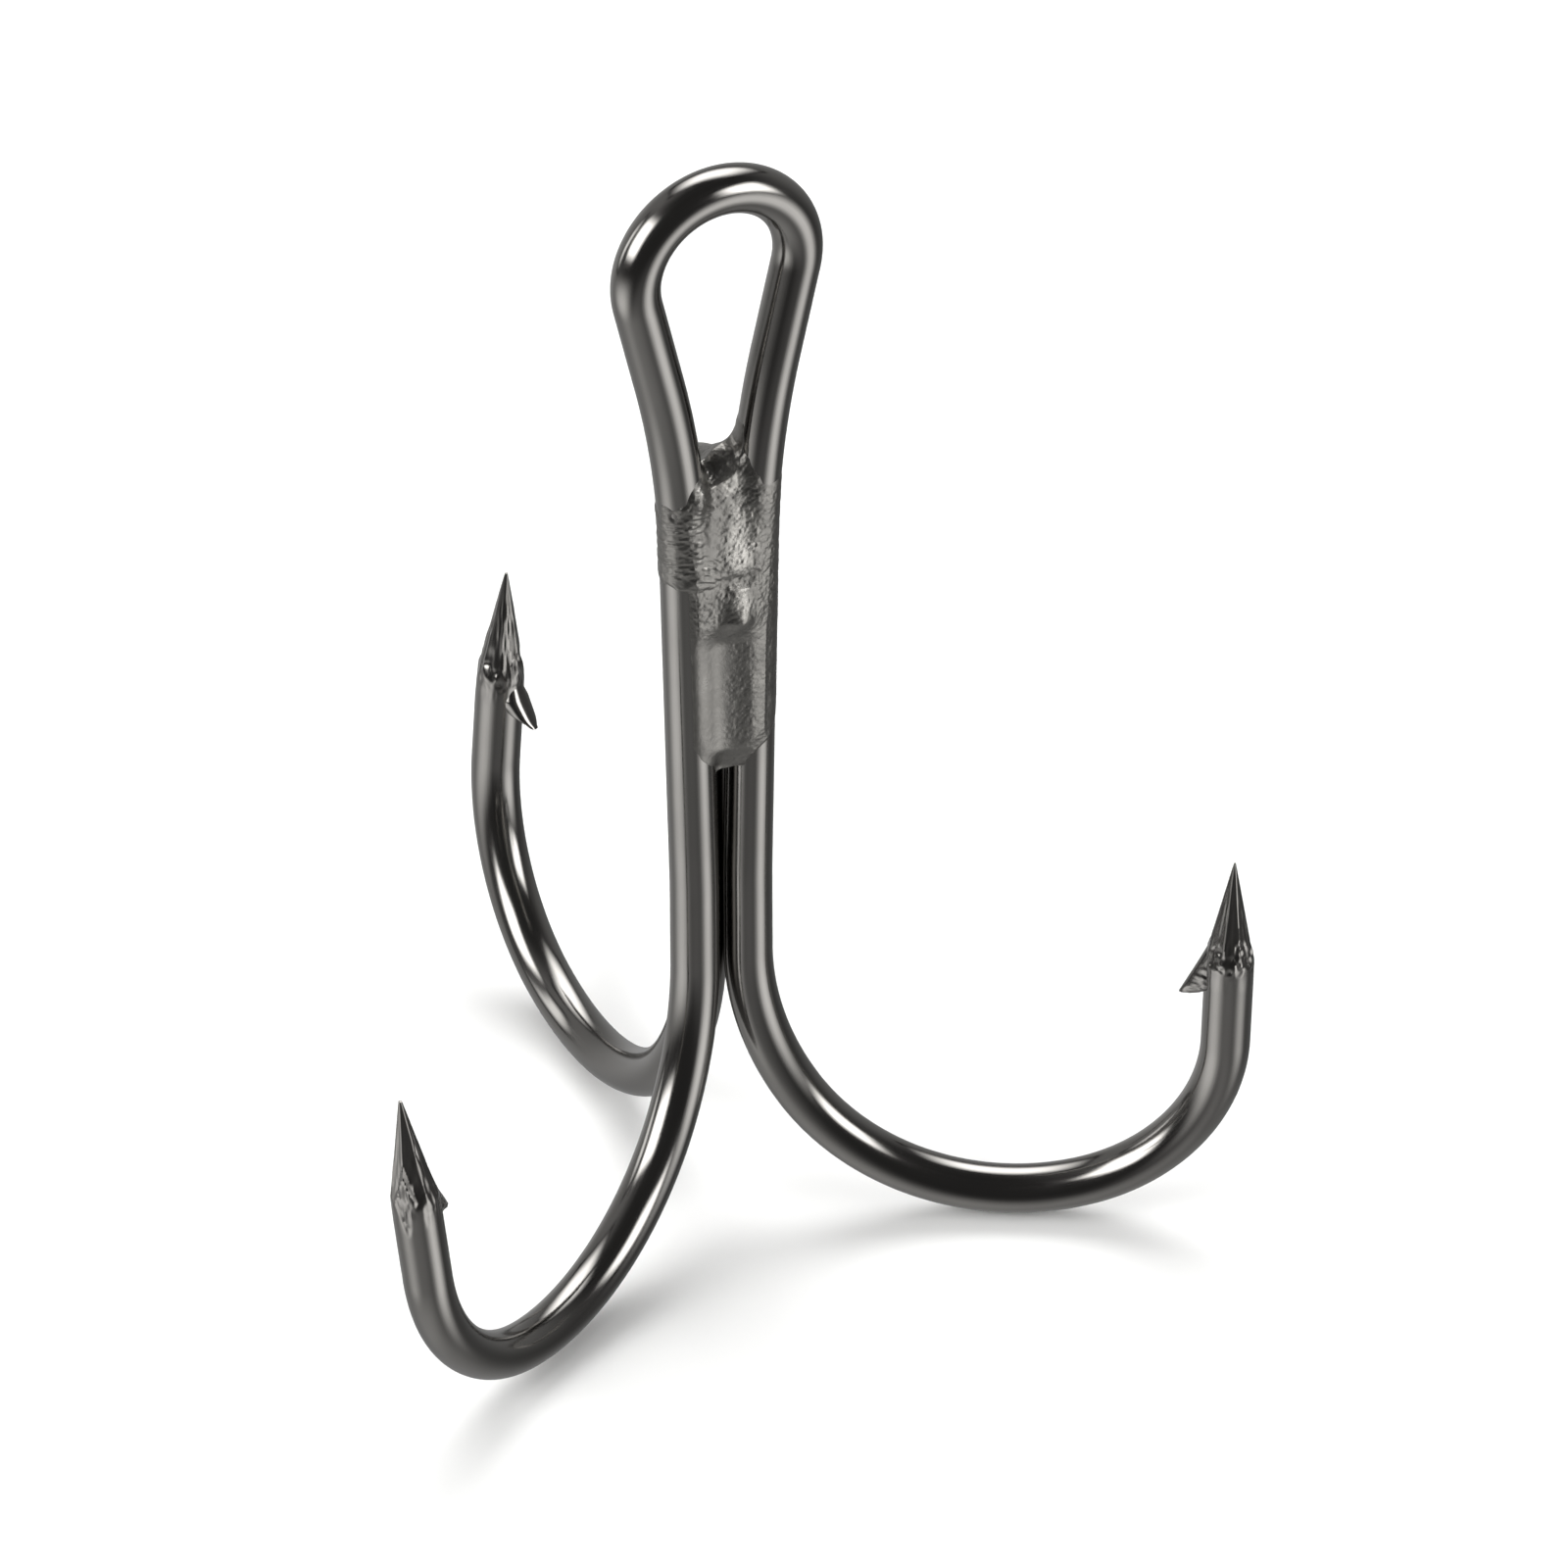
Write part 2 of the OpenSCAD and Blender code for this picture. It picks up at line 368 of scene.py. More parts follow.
def barb_mesh(p, origin, ahead, side, tongue, twist=0.0):
    """A sliver cut from the wire and lifted towards the shank. origin is the tip, ahead points from
    the tip back along the wire, side faces the shank. tongue goes from 0, a wedge with a sharp
    outer edge, to 1, a rounded flap that is bent aside by twist."""
    side = turned(side, ahead, twist)
    across = np.cross(ahead, side)
    count, sides = 46, 40
    begin = p.barb_start / MM + 0.85 * tongue
    end = p.barb_end / MM + 0.12 * tongue
    root = 0.5 + 0.1 * tongue
    verts, faces = [], []
    for i in range(count + 1):
        t = i / count
        s_out = begin + (end - begin) * t
        r_out = root + (p.barb_reach / MM - root) * t ** (1.1 + 0.2 * tongue)
        s_in = min(s_out + 0.4, 4.15 + 0.85 * t)
        r_in = 0.15 + 0.25 * t
        closing = max((t - 0.88) / 0.12, 0.0)
        s_in += (s_out - s_in) * closing ** 2 * 0.55
        r_in += (r_out - 0.2 - 0.12 * tongue - r_in) * closing ** 2 * (0.55 + 0.2 * tongue)
        half = p.barb_w / MM / 2 * (0.85 + (0.1 + 0.12 * tongue) * math.sin(math.pi * min(t * 1.05, 1)))
        if tongue:
            rounding = math.sqrt(max(1 - max((t - 0.84) / 0.165, 0) ** 2, 0.25))
            half *= (0.6 + 0.4 * min(t / 0.5, 1)) * rounding
        else:
            half *= 1 - 0.45 * closing
        for j in range(sides):
            a = 2 * math.pi * j / sides
            c, d = math.cos(a), math.sin(a)
            h = 0.5 + 0.5 * math.copysign(abs(c) ** (1 - 0.2 * tongue), c)
            edge = 1.35 - (0.7 - 0.45 * tongue) * h
            width = half * edge * math.copysign(abs(d) ** (0.7 - 0.1 * tongue), d)
            s, r = s_in + (s_out - s_in) * h, r_in + (r_out - r_in) * h
            place = np.array([s, r, 0.8 * width])
            torn = 0.07 * noise(place, 0.15, 9) + 0.05 * noise(place, 0.3, 10)
            width += math.copysign(torn * (1 - 0.9 * tongue) * (1 - h ** 3), width) * abs(d)
            verts.append(origin + (ahead * s + side * r + across * width) * MM)
    for i in range(count):
        for j in range(sides):
            k = (j + 1) % sides
            faces.append((i * sides + j, i * sides + k, (i + 1) * sides + k, (i + 1) * sides + j))
    faces.append(tuple(reversed(range(sides))))
    faces.append(tuple(range(count * sides, (count + 1) * sides)))
    return verts, faces


def wire_mesh(points, sides, ends, wire_r):
    """A swept wire. ends maps 'start' or 'end' to its point and the direction of its barb."""
    ahead, side, up = frames(points)
    lengths = np.concatenate([[0], np.cumsum(np.linalg.norm(np.diff(points, axis=0), axis=1))]) / MM
    angle = 2 * np.pi * np.arange(sides) / sides
    radius = np.full((len(points), sides), wire_r / MM)
    # Drawn wire is round to a few microns; the waver shows only as life in the reflections.
    ring = np.stack([np.cos(angle), np.sin(angle)], 1)
    place = np.concatenate([np.repeat(ring[None], len(points), 0) * 0.8,
                            np.repeat(lengths[:, None, None] * 0.12, sides, 1)], 2)
    radius += 0.002 * noise(place, 0.5, 3)
    for end, (point, barb_side) in ends.items():
        s, i, hand = (lengths, 0, 1) if end == "start" else (lengths[-1] - lengths, len(points) - 1, -1)
        zero = math.atan2(np.dot(barb_side, up[i]), np.dot(barb_side, side[i]))
        near = s < 5.5
        shaped = point.radius((angle[None, :] - zero) * hand, s[near][:, None], wire_r / MM)
        radius[near] = np.minimum(shaped, radius[near])
    verts = (points[:, None, :]
             + (np.cos(angle)[None, :, None] * side[:, None, :]
                + np.sin(angle)[None, :, None] * up[:, None, :]) * radius[..., None] * MM)
    count = len(points)
    flat = [tuple(v) for v in verts.reshape(-1, 3)]
    faces, uvs = [], []
    for i in range(count - 1):
        for j in range(sides):
            k = (j + 1) % sides
            faces.append((i * sides + j, i * sides + k, (i + 1) * sides + k, (i + 1) * sides + j))
            u0, u1, v0, v1 = lengths[i], lengths[i + 1], j / sides, (j + 1) / sides
            uvs.append(((u0, v0), (u0, v1), (u1, v1), (u1, v0)))
    for i, turned_over in ((0, True), (count - 1, False)):
        centre = len(flat)
        push = -0.02 if i == 0 else 0.02
        flat.append(tuple(points[i] + ahead[i] * push * MM))
        for j in range(sides):
            k = (j + 1) % sides
            a, b = i * sides + j, i * sides + k
            faces.append((centre, b, a) if turned_over else (centre, a, b))
            uvs.append(((lengths[i], 0), (lengths[i], 0), (lengths[i], 0)))
    return flat, faces, uvs


def make_object(name, verts, faces, uvs=None, sharp=None):
    mesh = bpy.data.meshes.new(name)
    mesh.from_pydata([tuple(v) for v in verts], [], [tuple(f) for f in faces])
    if uvs:
        layer = mesh.uv_layers.new(name="along_round")
        flat = [c for face in uvs for uv in face for c in uv]
        flat += [0.0] * (2 * len(mesh.loops) - len(flat))
        layer.data.foreach_set("uv", flat)
    mesh.validate()
    mesh.update()
    mesh.shade_smooth()
    if sharp:
        mesh.set_sharp_from_angle(angle=sharp)
    piece = bpy.data.objects.new(name, mesh)
    bpy.context.scene.collection.objects.link(piece)
    return piece


def finish_piece(piece, material, slot, *nodes):
    piece.data.materials.append(material)
    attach(piece, "root")
    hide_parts(*nodes)
    return piece


# ---------------------------------------------------------------- filler


class Filler:
    """The filler's shape as a field: negative inside, in millimetres."""

    # The drop that hangs on the left leg: centre and half sizes.
    DROP = ((-1.08, -0.6, -8.05), (0.22, 0.23, 0.3))
    # The ramp from the bridge down to the rear wire's end: two ends and a radius.
    RAMP = ((0.25, 0.3, -7.6), (0.0, 1.25, -8.05), 0.5)

    def __init__(self, w, f):
        z, top_x, top_z, _, _, _ = flare_start(w)
        self.flare_z, self.top_x, self.top_z = z / MM, top_x / MM, top_z / MM
        self.lean, self.flare_r = w.leg_lean, w.flare_r / MM
        self.wire_r = w.wire_d / MM / 2
        self.rear_y, self.rear_top = w.rear_y / MM, w.rear_top_z / MM
        self.foot, self.fillet = f.foot_z / MM, f.fillet / MM
        self.grain = f.grain / MM

    def leg_x(self, z):
        straight = self.top_x + (z - self.top_z) * math.tan(self.lean)
        sine = np.clip(math.sin(self.lean) + np.maximum(z - self.flare_z, 0) / self.flare_r, 0, 0.6)
        base = self.top_x + (self.flare_z - self.top_z) * math.tan(self.lean)
        curved = base + self.flare_r * (math.cos(self.lean) - np.sqrt(1 - sine ** 2))
        return np.where(z > self.flare_z, curved, straight), np.sqrt(1 - sine ** 2)

    def wires(self, p):
        x, y, z = p[..., 0], p[..., 1], p[..., 2]
        leg, cosine = self.leg_x(z)
        left = np.hypot((x + leg) * cosine, y) - self.wire_r
        right = np.hypot((x - leg) * cosine, y) - self.wire_r
        radial = np.hypot(x, y - self.rear_y) - self.wire_r
        over = z - self.rear_top
        outside = np.hypot(np.maximum(radial, 0), np.maximum(over, 0))
        rear = outside + np.minimum(np.maximum(radial, over), 0)
        return left, right, rear, leg

    def front(self, x, z):
        """How far the filler between the legs stands forward: a nearly flat tongue below, and above it
        two lumps that lean back as they rise and turn to the right."""
        tongue = 0.74 + 0.17 * x - 0.2 * ease(0.6, 1.3, x)
        upper = 1.0 - 0.17 * np.sqrt((x - 0.05) ** 2 + 0.16) - 0.2 * ease(0.9, 1.4, x)
        upper = upper - 0.13 * np.clip(z + 11.1, 0, 2.8) - 0.2 * np.maximum(z + 8.3, 0)
        leaning = np.clip((-11.5 - z) / 1.4, 0, 1) * np.exp(-((x - 0.3) / 0.5) ** 2)
        upper = upper + 0.28 * leaning - 0.08 * bump_at(x, z, 0.3, -11.4, 1.2, 0.3)
        return tongue + (upper - tongue) * ease(-13.9, -12.8, z)

    def field(self, p):
        """Films that follow each wire, a core between them, lumps and the bridge, melted together."""
        x, y, z = p[..., 0], p[..., 1], p[..., 2]
        left, right, rear, leg = self.wires(p)
        k = self.fillet
        slow, quick = noise(p, 0.9, 21), noise(p, 0.33, 22)
        foot = self.foot + 0.45 * x ** 2 + 0.1 * slow + 0.07 * quick
        begun = ease(-0.05, 0.35, z - foot)
        wrap = ease(-11.45, -11.1, z + 0.2 * slow + 0.25 * quick) * (1 - ease(-8.7, -7.9, z + 0.35 * quick))
        # How far round each leg the filler reaches, measured from its middle as a maker faces it.
        reach_left = (x + leg) * 0.89 - y * 0.45 - 0.05 * quick - 0.45 * ease(-8.7, -8.0, z)
        reach_right = (leg - x) * 0.89 + y * 0.45 + 0.05 * quick
        on_left = begun * ease(-0.55, 0.4, reach_left) * (1 - ease(-7.4, -6.9, z))
        on_right = begun * (1 - ease(-0.5, 0.8, z + 8.2 - 1.0 * ease(-0.5, 0.7, reach_right) + 0.3 * quick))
        climb = ease(0.4, 0.62, reach_right) * (1 - ease(-6.3, -5.4, z)) * ease(-8.0, -7.4, z)
        gone = 0.9 * (ease(-5.2, -4.4, z) + 1 - ease(self.foot - 0.9, self.foot - 0.3, z))
        film_left = -0.1 + 0.135 * wrap + 0.09 * on_left * (1 - wrap) - gone - 0.5 * ease(-7.2, -6.4, z)
        film_right = -0.1 + 0.12 * np.maximum(on_right, climb) - gone
        film_rear = -0.1 + 0.12 * begun * (1 - ease(-8.3, -7.9, z)) + 0.03 * ease(-8.7, -8.0, z) - gone
        depth = self.front(x, z) - 0.35 * (1 - ease(0, 1.0, z - foot))
        back = y - (self.rear_y - 0.4 - 0.3 * np.abs(x))
        # Over the throat the core slopes up to a crest that rises to the right, and down behind it.
        rise = np.minimum(-7.7 + 0.35 * x + 0.71 * (y + 0.35), -7.27 + 0.6 * x - 0.9 * (y - 0.35))
        core = np.maximum.reduce([-depth - y, back, np.abs(x) - leg * 0.9, (z - rise) * 0.8, foot - z])
        parts = [left - film_left, right - film_right, rear - film_rear, core]
        centre, half = np.array(self.DROP[0]), np.array(self.DROP[1])
        q = (p - centre) / half
        far = np.sqrt((q ** 2).sum(-1)) + 1e-6
        parts.append(far * (far - 1) / (np.sqrt(((q / half) ** 2).sum(-1)) + 1e-6))
        start, line, radius = np.array(self.RAMP[0]), np.subtract(self.RAMP[1], self.RAMP[0]), self.RAMP[2]
        t = np.clip(((p - start) * line).sum(-1) / (line ** 2).sum(), 0, 1)
        parts.append(np.linalg.norm(p - start - t[..., None] * line, axis=-1) - radius)
        return -k * np.log(sum(np.exp(-np.clip(part, -1.5, 5) / k) for part in parts))

    def grainy(self, p):
        """Height of the wrinkled skin over the smooth filler."""
        x, y, z = p[..., 0], p[..., 1], p[..., 2]
        left, right, rear, leg = self.wires(p)
        # Wrinkled above the lower lump, finely grained on the right of the tongue, smooth on its left.
        wrinkled = ease(-13.4, -12.4, z + 0.5 * noise(p, 1.0, 41)) * (1 - 0.35 * ease(-8.2, -7.6, z))
        grained = 0.5 * ease(-0.25, 0.2, x + 0.3 * noise(p, 0.7, 46))
        rough = np.maximum(wrinkled, grained) * 0.9 + 0.1
        skin = rough * (0.011 * noise(p, self.grain * 2.6, 43) + 0.013 * noise(p, self.grain, 42))
        # Broken ripples round the left leg where the filler froze as it ran.
        on_left = ease(-0.2, -0.7, x) * ease(-11.6, -11.1, z) * (1 - ease(-8.4, -8.1, z))
        flowed = np.stack([x, y, z + 0.35 * (x + leg + 0.2) ** 2], -1) * np.array([0.4, 0.4, 1.0])
        ripple = 0.026 * noise(flowed, self.grain * 1.05, 47) + 0.008 * noise(p, self.grain * 2.4, 48)
        skin = skin + (ripple - skin) * on_left
        # A thin film lies smooth on its wire, so its edge stays clean.
        return skin * ease(-0.02, 0.06, np.minimum(np.minimum(left, right), rear))


def surface_of(field, low, high, step):
    """Surface nets: one vertex in each cell that the surface crosses, one face for each crossed edge.
    Only the cells near the surface, found on a coarse grid, are worked out finely."""
    skip = 5
    counts = [int(math.ceil((b - a) / (step * skip))) * skip + 1 for a, b in zip(low, high)]
    axes = [a + step * np.arange(n) for a, n in zip(low, counts)]
    coarse = field(np.stack(np.meshgrid(*[a[::skip] for a in axes], indexing="ij"), -1))
    values = coarse
    for axis in range(3):
        n = values.shape[axis]
        at = np.arange(counts[axis]) / skip
        first = np.minimum(at.astype(int), n - 2)
        t = (at - first).reshape([-1 if i == axis else 1 for i in range(3)])
        values = np.take(values, first, axis) * (1 - t) + np.take(values, first + 1, axis) * t
    near = np.argwhere(np.abs(values) < step * skip * 1.6)
    for i in range(0, len(near), 200000):
        cell = near[i:i + 200000]
        values[tuple(cell.T)] = field(np.array(low) + step * cell)
    inside = values < 0
    shape = tuple(n - 1 for n in values.shape)
    total = np.zeros(shape + (3,))
    count = np.zeros(shape)
    corners = [(a, b, c) for a in (0, 1) for b in (0, 1) for c in (0, 1)]

    def at_corner(array, corner):
        return array[tuple(slice(o, o + n) for o, n in zip(corner, shape))]

    for a in corners:
        for b in corners:
            if sum(abs(i - j) for i, j in zip(a, b)) != 1 or a > b:
                continue
            crossed = at_corner(inside, a) != at_corner(inside, b)
            va, vb = at_corner(values, a)[crossed], at_corner(values, b)[crossed]
            total[crossed] += np.array(a) + (va / (va - vb))[:, None] * (np.array(b) - np.array(a))
            count += crossed
    used = count > 0
    index = -np.ones(shape, int)
    index[used] = np.arange(used.sum())
    verts = np.array(low) + step * (np.argwhere(used) + total[used] / count[used][:, None])
    faces = []
    for axis in range(3):
        o1, o2 = [i for i in range(3) if i != axis]
        first, second = [slice(None)] * 3, [slice(None)] * 3
        first[axis], second[axis] = slice(0, -1), slice(1, None)
        where = np.argwhere(inside[tuple(first)] != inside[tuple(second)])
        going_in = inside[tuple(first)][tuple(where.T)]
        quads = []
        for d1, d2 in ((-1, -1), (0, -1), (0, 0), (-1, 0)):
            cell = where.copy()
            cell[:, o1] += d1
            cell[:, o2] += d2
            quads.append(index[tuple(cell.T)])
        quad = np.stack(quads, 1)
        flip = going_in if axis != 1 else ~going_in
        quad[~flip] = quad[~flip][:, ::-1]
        faces.append(quad)
    return verts, np.concatenate(faces)


def slope_of(field, p, h=0.004):
    """Gradient of the field, over steps of h millimetres."""
    return np.stack([field(p + d) - field(p - d) for d in np.eye(3) * h], -1) / (2 * h)


# ---------------------------------------------------------------- materials


def node(tree, kind, links=None, **settings):
    """Adds a node with its settings and what feeds its inputs; a plain value sets a socket."""
    made = tree.nodes.new(kind)
    for key, value in settings.items():
        setattr(made, key, value)
    for socket, source in (links or {}).items():
        target = made.inputs[socket]
        if isinstance(source, bpy.types.NodeSocket):
            tree.links.new(source, target)
        else:
            target.default_value = source
    return made


def shade(colour, factor):
    """The same colour, darker or lighter."""
    return [c * factor for c in colour[:3]] + [1.0]


def new_material(name):
    material = bpy.data.materials.new(name)
    material.use_nodes = True
    tree = material.node_tree
    tree.nodes.clear()
    return material, tree


def black_nickel_plate(colour):
    """Black nickel over polished drawn wire: a dark mirror with a faint warm cast. The eye sees
    long clean reflections, hairline draw marks along the wire and a slight cloudiness."""
    material, tree = new_material("black_nickel_plate")
    uv = node(tree, "ShaderNodeUVMap", uv_map="along_round").outputs["UV"]
    # u is millimetres along the wire, v once round it, 5 mm: draw marks 0.05 mm wide, 3 mm long
    lines = node(tree, "ShaderNodeMapping", {"Vector": uv, "Scale": (0.3, 100.0, 1.0)})
    marks = node(tree, "ShaderNodeTexNoise", {"Vector": lines.outputs[0], "Scale": 1.0, "Detail": 3.0,
                                              "Roughness": 0.6})
    place = node(tree, "ShaderNodeTexCoord").outputs["Object"]
    # cloudy patches about 2.5 mm across
    cloud = node(tree, "ShaderNodeTexNoise", {"Vector": place, "Scale": 400.0, "Detail": 2.0})
    # plating grain about 0.04 mm
    grain = node(tree, "ShaderNodeTexNoise", {"Vector": place, "Scale": 26000.0, "Detail": 1.0})
    rough = node(tree, "ShaderNodeMapRange", {"Value": marks.outputs["Fac"], "From Min": 0.3,
                                              "From Max": 0.75, "To Min": 0.09, "To Max": 0.17})
    cloudy = node(tree, "ShaderNodeMapRange", {"Value": cloud.outputs["Fac"], "From Min": 0.35,
                                               "From Max": 0.7, "To Min": 0.0, "To Max": 0.05})
    total = node(tree, "ShaderNodeMath", {0: rough.outputs[0], 1: cloudy.outputs[0]}, operation="ADD")
    tint = node(tree, "ShaderNodeMix", {"Factor": cloud.outputs["Fac"], "A": colour,
                                        "B": shade(colour, 0.86)},
                data_type="RGBA")
    fine = node(tree, "ShaderNodeBump", {"Height": grain.outputs["Fac"], "Strength": 0.035,
                                         "Distance": 0.02 * MM})
    drawn = node(tree, "ShaderNodeBump", {"Height": marks.outputs["Fac"], "Strength": 0.05,
                                          "Distance": 0.02 * MM, "Normal": fine.outputs[0]})
    shader = node(tree, "ShaderNodeBsdfPrincipled", {"Base Color": tint.outputs["Result"], "Metallic": 1.0,
                                                     "Roughness": total.outputs[0],
                                                     "Normal": drawn.outputs[0]})
    node(tree, "ShaderNodeOutputMaterial", {"Surface": shader.outputs[0]})
    return material


# High spots of the filler where the base colour carries a painted highlight: middle and half sizes in
# millimetres.
PAINTED_HIGHLIGHT_SPOTS = (((0.33, -0.95, -12.3), (0.42, 0.6, 0.6)),
               ((0.45, -0.9, -9.7), (0.5, 0.7, 1.3)),
               ((0.25, -0.55, -7.95), (0.5, 0.5, 0.4)))


def plated_brazing_filler(colour):
    """Brazing filler under the same plate: it froze wrinkled, so it is a satin grey. The eye sees
    a crackled skin; its colour carries painted shade in the creases and a painted highlight on three high
    spots."""
    material, tree = new_material("plated_brazing_filler")
    place = node(tree, "ShaderNodeTexCoord").outputs["Object"]
    # crackle cells about 0.16 mm and grit about 0.05 mm
    crackle = node(tree, "ShaderNodeTexVoronoi", {"Vector": place, "Scale": 6200.0, "Randomness": 1.0},
                   feature="SMOOTH_F1")
    grit = node(tree, "ShaderNodeTexNoise", {"Vector": place, "Scale": 19000.0, "Detail": 3.0})
    patch = node(tree, "ShaderNodeTexNoise", {"Vector": place, "Scale": 900.0, "Detail": 3.0})
    rough = node(tree, "ShaderNodeMapRange", {"Value": patch.outputs["Fac"], "From Min": 0.3,
                                              "From Max": 0.7, "To Min": 0.27, "To Max": 0.4})
    # painted shade: the base colour darkens towards the edges of the crackle cells, where the creases lie
    painted_crease_shade = node(tree, "ShaderNodeMapRange", {"Value": crackle.outputs["Distance"], "From Min": 0.15,
                                               "From Max": 0.75, "To Min": 1.0, "To Max": 0.8})
    # painted highlight: the base colour is made lighter on the listed high spots
    painted_highlight = 0.0
    for middle, half in PAINTED_HIGHLIGHT_SPOTS:
        local = node(tree, "ShaderNodeMapping", {"Vector": place, "Scale": [1 / (h * MM) for h in half],
                                                 "Location": [-m / h for m, h in zip(middle, half)]})
        far = node(tree, "ShaderNodeVectorMath", {0: local.outputs[0]}, operation="LENGTH")
        ragged = node(tree, "ShaderNodeMath", {0: far.outputs["Value"], 1: patch.outputs["Fac"]},
                      operation="ADD")
        near = node(tree, "ShaderNodeMapRange", {"Value": ragged.outputs[0], "From Min": 1.05,
                                                 "From Max": 1.75, "To Min": 1.0, "To Max": 0.0},
                    interpolation_type="SMOOTHSTEP")
        painted_highlight = node(tree, "ShaderNodeMath", {0: near.outputs[0], 1: painted_highlight},
                      operation="MAXIMUM").outputs[0]
    # painted highlight: the body colour is 0.8 of the filler colour off the spots and 1.6 of it on them
    body = node(tree, "ShaderNodeMix", {"Factor": painted_highlight, "A": shade(colour, 0.8),
                                        "B": shade(colour, 1.6)}, data_type="RGBA")
    # painted shade: the darker colour of the creases mixed over the body colour
    tint = node(tree, "ShaderNodeMix", {"Factor": painted_crease_shade.outputs[0],
                                        "A": shade(colour, 0.4),
                                        "B": body.outputs["Result"]}, data_type="RGBA")
    skin = node(tree, "ShaderNodeBump", {"Height": crackle.outputs["Distance"], "Strength": 0.25,
                                         "Distance": 0.02 * MM}, invert=True)
    fine = node(tree, "ShaderNodeBump", {"Height": grit.outputs["Fac"], "Strength": 0.35,
                                         "Distance": 0.02 * MM, "Normal": skin.outputs[0]})
    shader = node(tree, "ShaderNodeBsdfPrincipled", {"Base Color": tint.outputs["Result"], "Metallic": 1.0,
                                                     "Roughness": rough.outputs[0],
                                                     "Normal": fine.outputs[0]})
    node(tree, "ShaderNodeOutputMaterial", {"Surface": shader.outputs[0]})
    return material


def matt_floor(colour):
    """Matt painted board: plain and pale, with a barely seen mottle."""
    material, tree = new_material("matt_floor")
    place = node(tree, "ShaderNodeTexCoord").outputs["Object"]
    mottle = node(tree, "ShaderNodeTexNoise", {"Vector": place, "Scale": 90.0, "Detail": 2.0})
    tint = node(tree, "ShaderNodeMix", {"Factor": mottle.outputs["Fac"], "A": colour,
                                        "B": shade(colour, 0.985)},
                data_type="RGBA")
    shader = node(tree, "ShaderNodeBsdfPrincipled", {"Base Color": tint.outputs["Result"],
                                                     "Roughness": 0.85})
    shader.inputs["Specular IOR Level"].default_value = 0.2
    node(tree, "ShaderNodeOutputMaterial", {"Surface": shader.outputs[0]})
    return material


def softbox_cloth(name, strength, softness):
    """Lit diffuser cloth, brightest in the middle and fading to its rim."""
    material, tree = new_material(name)
    place = node(tree, "ShaderNodeTexCoord").outputs["Generated"]
    centred = node(tree, "ShaderNodeVectorMath", {0: place, 1: (0.5, 0.5, 0.0)}, operation="SUBTRACT")
    apart = node(tree, "ShaderNodeSeparateXYZ", {0: centred.outputs[0]})
    rims = []
    for axis in ("X", "Y"):
        size = node(tree, "ShaderNodeMath", {0: apart.outputs[axis]}, operation="ABSOLUTE")
        rims.append(node(tree, "ShaderNodeMapRange", {"Value": size.outputs[0], "From Min": 0.5,
                                                      "From Max": 0.5 - softness, "To Min": 0.0,
                                                      "To Max": 1.0}, interpolation_type="SMOOTHSTEP"))
    level = node(tree, "ShaderNodeMath", {0: rims[0].outputs[0], 1: rims[1].outputs[0]},
                 operation="MULTIPLY")
    power = node(tree, "ShaderNodeMath", {0: level.outputs[0], 1: strength}, operation="MULTIPLY")
    light = node(tree, "ShaderNodeEmission", {"Strength": power.outputs[0]})
    node(tree, "ShaderNodeOutputMaterial", {"Surface": light.outputs[0]})
    return material


# ---------------------------------------------------------------- operators


def sizes():
    scene = bpy.context.scene
    return scene.hook_wire, scene.hook_point, scene.hook_filler, scene.hook_finish, scene.hook_stage


def plate_material():
    found = bpy.data.materials.get("black_nickel_plate")
    return found or black_nickel_plate(list(sizes()[3].plate))


def joined(parts):
    """Vertices and faces of several meshes as one."""
    verts, faces, uvs = [], [], []
    for v, f, uv in parts:
        base = len(verts)
        verts += [tuple(p) for p in v]
        faces += [tuple(int(i) + base for i in face) for face in f]
        uvs += uv or [tuple((0.0, 0.0) for _ in face) for face in f]
    return verts, faces, uvs


class HOOK_OT_double(bpy.types.Operator):
    """Bend the double hook with its eye from one wire and grind its points"""

    bl_idname = "treble_hook.double_wire"
    bl_label = "Double hook wire"

    def execute(self, context):
        w, p, *_ = sizes()
        right = draw_half(w, False, math.radians(-30), 0.0)
        left = draw_half(w, True, math.radians(-150), -w.left_open)
        points = np.array(left.points[::-1] + right.points[1:])
        ends = {"start": (LEFT_POINT, left.side), "end": (RIGHT_POINT, right.side)}
        wire = wire_mesh(points, w.sides, ends, w.wire_d / 2)
        barbs = []
        for pen in (left, right):
            v, f = barb_mesh(p, pen.points[-1], -pen.ahead, pen.side, 0.0)
            barbs.append((v, f, None))
        verts, faces, uvs = joined([wire] + barbs)
        piece = make_object("double_hook", verts, faces, uvs, SHARP_EDGE)
        finish_piece(piece, plate_material(), "hook_plate", "double_hook_wire")
        return {"FINISHED"}


class HOOK_OT_single(bpy.types.Operator):
    """Bend the single hook that lies behind the legs and grind its point"""

    bl_idname = "treble_hook.single_wire"
    bl_label = "Single hook wire"

    def execute(self, context):
        w, p, *_ = sizes()
        pen = Pen((0, w.rear_y, w.rear_top_z), (0, 0, -1), (0, 1, 0), w.ring_step)
        pen.run(w.rear_top_z - w.bend_z)
        draw_hook(pen, w, w.rear_close)
        points = np.array(pen.points)
        wire = wire_mesh(points, w.sides, {"end": (REAR_POINT, pen.side)}, w.wire_d / 2)
        v, f = barb_mesh(p, pen.points[-1], -pen.ahead, pen.side, 1.0, math.radians(-24))
        verts, faces, uvs = joined([wire, (v, f, None)])
        piece = make_object("single_hook", verts, faces, uvs, SHARP_EDGE)
        finish_piece(piece, plate_material(), "hook_plate", "single_hook_wire")
        return {"FINISHED"}


